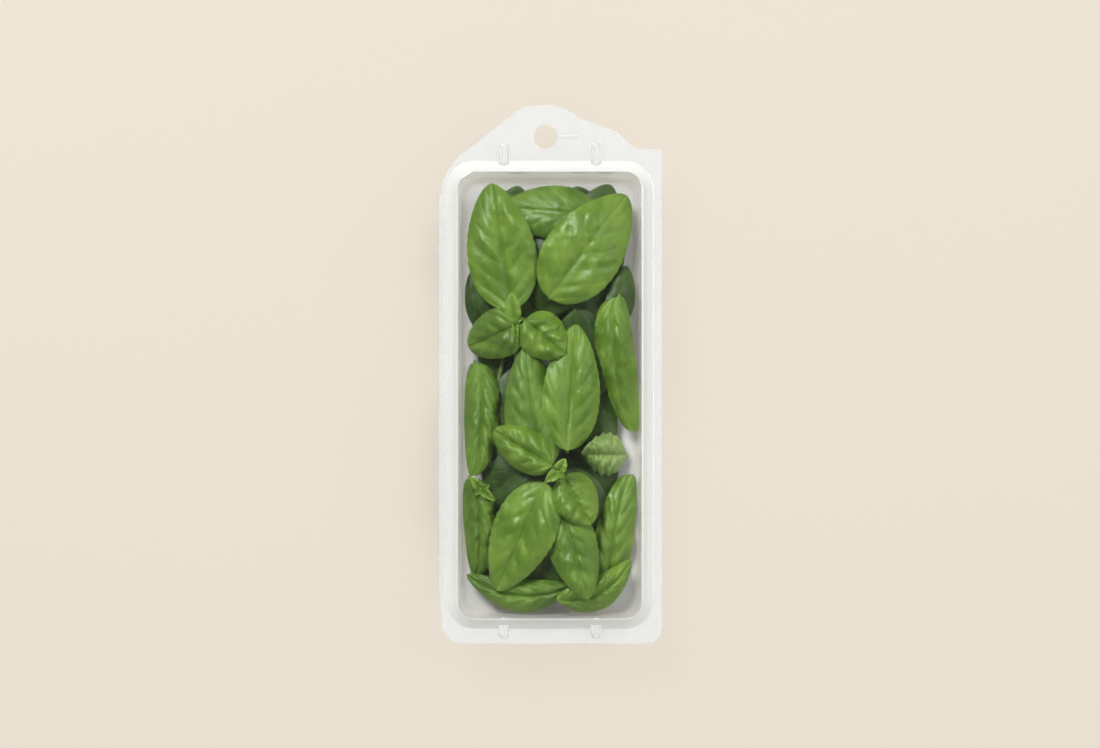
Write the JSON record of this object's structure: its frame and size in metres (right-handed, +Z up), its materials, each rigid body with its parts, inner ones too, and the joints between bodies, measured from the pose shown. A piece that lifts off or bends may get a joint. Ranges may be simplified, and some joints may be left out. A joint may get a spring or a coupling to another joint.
{
  "type": "clamshell pack of fresh basil",
  "caption": "Clear hang-tab clamshell pack with a hinged lid, filled with fresh basil leaves, stems and sprig tips.",
  "frame": {"origin": "middle of the pack's width and length, on the surface that the tray floor rests on", "axes": "+Z up through the lid, +Y along the pack towards the hang tab, +X across the pack away from the lid hinge"},
  "size_m": [0.0848, 0.2044, 0.0285],
  "materials": {
    "clear_plastic": "gloss",
    "leaf": "satin",
    "stem": "satin",
    "growing_tip": "satin"
  },
  "bodies": {
    "tray": {"tray": "clear_plastic", "hinge_film": "clear_plastic", "bottom_corner_leaf": "leaf", "bottom_edge_leaf": "leaf", "centre_leaf_left": "leaf", "centre_leaf_right": "leaf", "edge_leaf_left": "leaf", "edge_leaf_right": "leaf", "floor_leaf_1": "leaf", "floor_leaf_2": "leaf", "floor_leaf_3": "leaf", "floor_leaf_4": "leaf", "floor_leaf_5": "leaf", "floor_leaf_6": "leaf", "floor_leaf_7": "leaf", "floor_leaf_8": "leaf", "floor_leaf_9": "leaf", "left_tip": "growing_tip", "lower_leaf_left": "leaf", "lower_leaf_middle": "leaf", "middle_leaf_1": "leaf", "middle_leaf_10": "leaf", "middle_leaf_2": "leaf", "middle_leaf_3": "leaf", "middle_leaf_4": "leaf", "middle_leaf_5": "leaf", "middle_leaf_6": "leaf", "middle_leaf_7": "leaf", "middle_leaf_8": "leaf", "middle_leaf_9": "leaf", "side_leaf_left_lower": "leaf", "side_leaf_left_upper": "leaf", "side_leaf_right_lower": "leaf", "side_leaf_right_upper": "leaf", "small_leaf_right": "leaf", "sprig_a_leaf_left": "leaf", "sprig_a_leaf_right": "leaf", "sprig_a_stem": "stem", "sprig_a_tip": "growing_tip", "sprig_b_leaf_left": "leaf", "sprig_b_leaf_right": "leaf", "sprig_b_stem": "stem", "sprig_b_tip": "growing_tip", "stem_1": "stem", "stem_2": "stem", "stem_3": "stem", "top_leaf_left": "leaf", "top_leaf_middle": "leaf", "top_leaf_right": "leaf", "under_leaf_left": "leaf", "under_leaf_right": "leaf", "under_leaf_top": "leaf"},
    "lid": {"lid": "clear_plastic"}
  },
  "joints": [
    {"name": "lid_hinge", "type": "hinge", "parent": "tray", "child": "lid", "pos_m": [-0.04185, 0, 0.0222], "axis": [0, -1, 0], "range_deg": [0, 180]}
  ]
}
